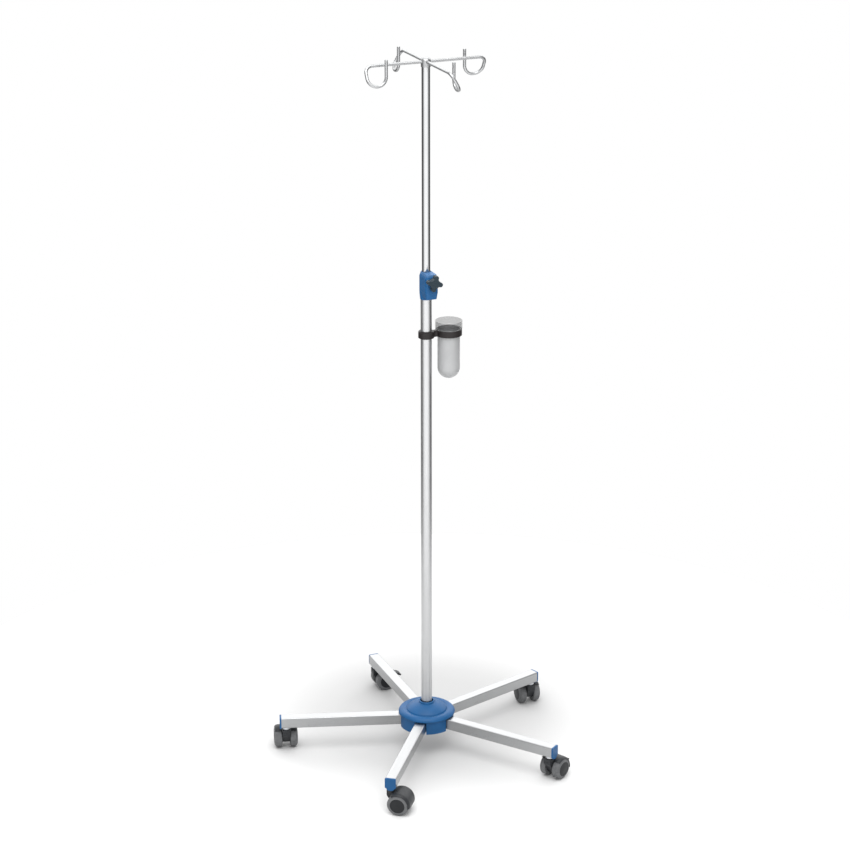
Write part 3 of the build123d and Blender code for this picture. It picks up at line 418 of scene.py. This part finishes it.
def studio_floor():
    """A plain pale floor, a disc that starts under the mast, with a soft painted shadow under the
    stand.
    """
    corners = [(0.0, 0.0, 0.0)]
    for ring in range(1, FLOOR_RINGS + 1):
        reach = FLOOR_RADIUS * (ring / FLOOR_RINGS) ** FLOOR_SPREAD
        for step in range(FLOOR_SEGMENTS):
            turn = 2.0 * math.pi * step / FLOOR_SEGMENTS
            corners.append((reach * math.cos(turn), reach * math.sin(turn), 0.0))
    faces = []
    for step in range(FLOOR_SEGMENTS):
        after = (step + 1) % FLOOR_SEGMENTS
        faces.append((0, 1 + step, 1 + after))
        for ring in range(FLOOR_RINGS - 1):
            inner = 1 + ring * FLOOR_SEGMENTS
            outer = inner + FLOOR_SEGMENTS
            faces.append((inner + step, outer + step, outer + after, inner + after))
    mesh = bpy.data.meshes.new("studio_floor")
    mesh.from_pydata(corners, [], faces)
    floor = bpy.data.objects.new("studio_floor", mesh)
    bpy.context.scene.collection.objects.link(floor)
    material, tree, shader = new_material("floor_paper")
    where = place(tree)
    paper = noise(tree, where, PAPER_SCALE, 3.0)
    tone = two_tone(tree, spread(tree, paper, 0.0, 1.0), *FLOOR_TONE)
    reach = node(tree, "VectorMath", operation="DISTANCE")
    join(tree, where, reach.inputs[0])
    reach.inputs[1].default_value = toward_camera() * -PAINTED_SHADOW_BEHIND
    # Painted shadow: the floor colour darkens towards a spot just behind the mast
    wear_and_painted_shadow = ramp(tree, reach.outputs["Value"], PAINTED_SHADOW_SHADES)
    painted_shadow = node(tree, "Mix", data_type="RGBA", blend_type="MULTIPLY")
    painted_shadow.inputs["Factor"].default_value = 1.0
    join(tree, tone, painted_shadow.inputs["A"])
    join(tree, wear_and_painted_shadow, painted_shadow.inputs["B"])
    join(tree, painted_shadow.outputs["Result"], shader.inputs["Base Color"])
    shader.inputs["Roughness"].default_value = PAPER_ROUGHNESS
    shader.inputs["Specular IOR Level"].default_value = PAPER_SPECULAR
    mesh.materials.append(material)


def blend(tree, share, first, second):
    """first at a share of 0, second at 1."""
    mixed = node(tree, "Mix", data_type="RGBA")
    join(tree, share, mixed.inputs["Factor"])
    join(tree, first, mixed.inputs["A"])
    join(tree, second, mixed.inputs["B"])
    return mixed.outputs["Result"]


def between(tree, value, low, high):
    """0 below low, 1 above high, eased between."""
    eased = node(tree, "MapRange", interpolation_type="SMOOTHSTEP")
    eased.inputs["From Min"].default_value = low
    eased.inputs["From Max"].default_value = high
    join(tree, value, eased.inputs["Value"])
    return eased.outputs["Result"]


def grey(tree, shade):
    """A plain grey source colour."""
    made = node(tree, "RGB")
    made.outputs["Color"].default_value = (shade, shade, shade, 1.0)
    return made.outputs["Color"]


# Shades round the stand, from straight behind it (0) to straight in front (1)
LOW_SHADES = (
    (0.0, 1.0),
    (0.10, 0.55),
    (0.22, 0.16),
    (0.50, 0.12),
    (0.64, 0.40),
    (0.78, 1.15),
    (0.90, 2.0),
    (1.0, 2.1),
)
HIGH_SHADES = (
    (0.0, 2.6),
    (0.16, 2.3),
    (0.28, 0.6),
    (0.40, 0.30),
    (0.62, 0.40),
    (0.80, 0.95),
    (1.0, 1.05),
)
LIGHT_SCALE = 4.0
CEILING_SHADE = 1.35
GROUND_SHADE = 1.0
HORIZON_SHADE = 0.5
# Where each zone fades into the next, by how steeply a ray points up (1) or down (-1)
FLOOR_TO_HORIZON = (-0.16, -0.06)
HORIZON = (-0.06, 0.10)
HORIZON_TO_BOARDS = (0.10, 0.22)
BOARDS_TO_CEILING = (0.62, 0.80)
LAMP_PLACE = (-0.5, -1.2, 3.3)
LAMP_AIM = (0.0, 0.0, 0.0)
LAMP_SIZE = 2.4
LAMP_POWER = 62.0


def studio_surroundings():
    """Bright boards in front, behind and overhead, grey sides, and a white ground."""
    world = bpy.data.worlds.new("studio")
    world.use_nodes = True
    bpy.context.scene.world = world
    tree = world.node_tree
    backdrop = tree.nodes["Background"]
    direction = node(tree, "TexCoord").outputs["Generated"]
    parts = node(tree, "SeparateXYZ")
    join(tree, direction, parts.inputs["Vector"])
    level = node(tree, "CombineXYZ")
    join(tree, parts.outputs["X"], level.inputs["X"])
    join(tree, parts.outputs["Y"], level.inputs["Y"])
    unit = node(tree, "VectorMath", operation="NORMALIZE")
    join(tree, level.outputs["Vector"], unit.inputs[0])
    facing = node(tree, "VectorMath", operation="DOT_PRODUCT")
    facing.inputs[1].default_value = toward_camera()
    join(tree, unit.outputs["Vector"], facing.inputs[0])
    halfway = spread(tree, facing.outputs["Value"], 0.0, 1.0, -1.0, 1.0)
    low, high = (
        ramp(tree, halfway, [(share, shade / LIGHT_SCALE) for share, shade in shades])
        for shades in (LOW_SHADES, HIGH_SHADES)
    )
    horizon = grey(tree, HORIZON_SHADE / LIGHT_SCALE)
    ceiling = grey(tree, CEILING_SHADE / LIGHT_SCALE)
    height = parts.outputs["Z"]
    upper = blend(tree, between(tree, height, *HORIZON_TO_BOARDS), horizon, high)
    upper = blend(tree, between(tree, height, *BOARDS_TO_CEILING), upper, ceiling)
    lower = blend(tree, between(tree, height, *FLOOR_TO_HORIZON), low, horizon)
    lit = blend(tree, between(tree, height, *HORIZON), lower, upper)
    seen = node(tree, "LightPath")
    ground = grey(tree, GROUND_SHADE / LIGHT_SCALE)
    join(tree, blend(tree, seen.outputs["Is Camera Ray"], lit, ground), backdrop.inputs["Color"])
    backdrop.inputs["Strength"].default_value = LIGHT_SCALE


def soft_box(name, place_at, aim_at, size, power):
    """A square area light that points at a spot."""
    lamp = bpy.data.lights.new(name, "AREA")
    lamp.shape = "SQUARE"
    lamp.size = size
    lamp.energy = power
    box = bpy.data.objects.new(name, lamp)
    box.location = place_at
    box.rotation_euler = (Vector(aim_at) - Vector(place_at)).to_track_quat("-Z", "Y").to_euler()
    bpy.context.scene.collection.objects.link(box)


def photo_camera():
    """The camera at the measured place."""
    camera = bpy.data.cameras.new("camera")
    camera.sensor_width = SENSOR_WIDTH
    camera.lens = FOCAL_PIXELS / IMAGE_PIXELS * SENSOR_WIDTH
    camera.clip_end = CLIP_END
    holder = bpy.data.objects.new("camera", camera)
    holder.location = toward_camera() * CAMERA_DISTANCE + Vector((0.0, 0.0, CAMERA_HEIGHT))
    camera.shift_x = -SHIFT_PIXELS / IMAGE_PIXELS
    aim = (math.radians(90.0 - CAMERA_PITCH), 0.0, math.radians(CAMERA_AZIMUTH))
    level = Euler(aim).to_matrix()
    rolled = level @ Matrix.Rotation(math.radians(-CAMERA_ROLL), 3, "Z")
    holder.rotation_euler = rolled.to_euler()
    bpy.context.scene.collection.objects.link(holder)
    bpy.context.scene.camera = holder


studio_floor()
studio_surroundings()
soft_box("overhead_softbox", LAMP_PLACE, LAMP_AIM, LAMP_SIZE, LAMP_POWER)
photo_camera()
bpy.context.scene.view_settings.view_transform = "Standard"
